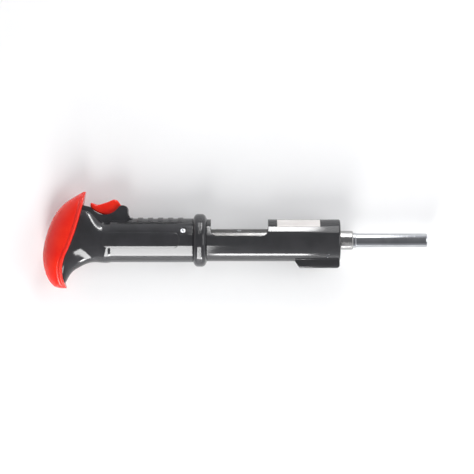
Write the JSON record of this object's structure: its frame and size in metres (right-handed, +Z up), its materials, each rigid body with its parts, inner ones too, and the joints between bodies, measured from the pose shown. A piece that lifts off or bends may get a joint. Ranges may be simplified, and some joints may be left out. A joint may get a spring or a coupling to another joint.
{
  "type": "powder-actuated nail gun",
  "caption": "Trigger-type powder-actuated fastening tool: chrome muzzle, black tubular housing with loading window and guard ring, red palm grip and trigger.",
  "frame": {"origin": "centre of the muzzle face, on the bore axis", "axes": "+X along the bore and out of the muzzle, +Y to the trigger side, +Z out of the tool's right side; the tool lies on its left side with +Z up"},
  "size_m": [0.3603, 0.0905, 0.0496],
  "materials": {
    "shell_black": "glossy black glass-filled nylon",
    "front_black": "gloss black enamel on steel",
    "grip_red": "glossy red-orange nylon",
    "muzzle_chrome": "bright chrome",
    "barrel_steel": "turned steel, lightly oiled",
    "tube_steel": "drawn steel tube, dark",
    "breech_steel": "hardened steel, blackened",
    "spring_steel": "bright spring wire",
    "fastener_steel": "zinc plated steel",
    "insert_brass": "machined brass",
    "buffer_rubber": "black rubber",
    "label_white": "blank white label stock"
  },
  "bodies": {
    "housing": {"rear_shell_right": "shell_black", "rear_shell_left": "shell_black", "palm_grip": "grip_red", "guard_ring": "shell_black", "front_housing": "front_black", "blank_label": "label_white", "nose_bushing": "breech_steel", "nose_snap_ring": "spring_steel", "receiver_tube": "tube_steel", "rear_plug": "breech_steel", "guide_washer": "breech_steel", "guide_pins": "fastener_steel", "stop_pawl": "breech_steel", "pawl_plug": "breech_steel", "pawl_spring": "spring_steel", "front_cross_pin": "fastener_steel", "side_screws": "fastener_steel", "trigger_pin": "fastener_steel", "sear_pin": "fastener_steel", "housing_screws": "fastener_steel", "grip_screws": "fastener_steel", "screw_inserts": "insert_brass", "trigger_spring": "spring_steel", "firing_spring": "spring_steel", "return_spring": "spring_steel"},
    "breech": {"breech_block": "breech_steel", "extractor_claw": "spring_steel", "extractor_pin": "fastener_steel"},
    "striker": {"firing_pin": "breech_steel", "striker_head": "breech_steel", "striker_pin": "fastener_steel"},
    "barrel": {"barrel": "barrel_steel", "muzzle_rod": "muzzle_chrome", "muzzle_lock_nut": "muzzle_chrome", "piston_buffer": "buffer_rubber", "vent_screw": "fastener_steel"},
    "piston": {"piston": "barrel_steel", "piston_ring": "spring_steel"},
    "trigger": {"trigger": "grip_red"},
    "sear": {"sear": "breech_steel"}
  },
  "joints": [
    {"name": "breech_slide", "type": "slide", "parent": "housing", "child": "breech", "axis": [1, 0, 0], "range_m": [-0.01, 0], "stiffness_N_per_m": 1500, "springref_m": 0.02, "deforming": ["return_spring", "firing_spring"]},
    {"name": "barrel_slide", "type": "slide", "parent": "breech", "child": "barrel", "axis": [1, 0, 0], "range_m": [0, 0.04]},
    {"name": "piston_slide", "type": "slide", "parent": "barrel", "child": "piston", "axis": [1, 0, 0], "range_m": [0, 0.076]},
    {"name": "striker_slide", "type": "slide", "parent": "breech", "child": "striker", "axis": [1, 0, 0], "range_m": [-0.008, 0], "stiffness_N_per_m": 3000, "springref_m": 0.008, "deforming": ["firing_spring"]},
    {"name": "trigger_hinge", "type": "hinge", "parent": "housing", "child": "trigger", "pos_m": [-0.285, 0.0279, 0], "axis": [0, 0, 1], "range_deg": [0, 10], "stiffness_Nm_per_rad": 0.5, "springref_deg": -20.05, "deforming": ["trigger_spring"]},
    {"name": "sear_hinge", "type": "hinge", "parent": "housing", "child": "sear", "pos_m": [-0.285, 0.0164, 0], "axis": [0, 0, 1], "range_deg": [0, 10]}
  ],
  "couplings": [
    {"joint": "sear_hinge", "follows": "trigger_hinge", "ratio": 1}
  ]
}
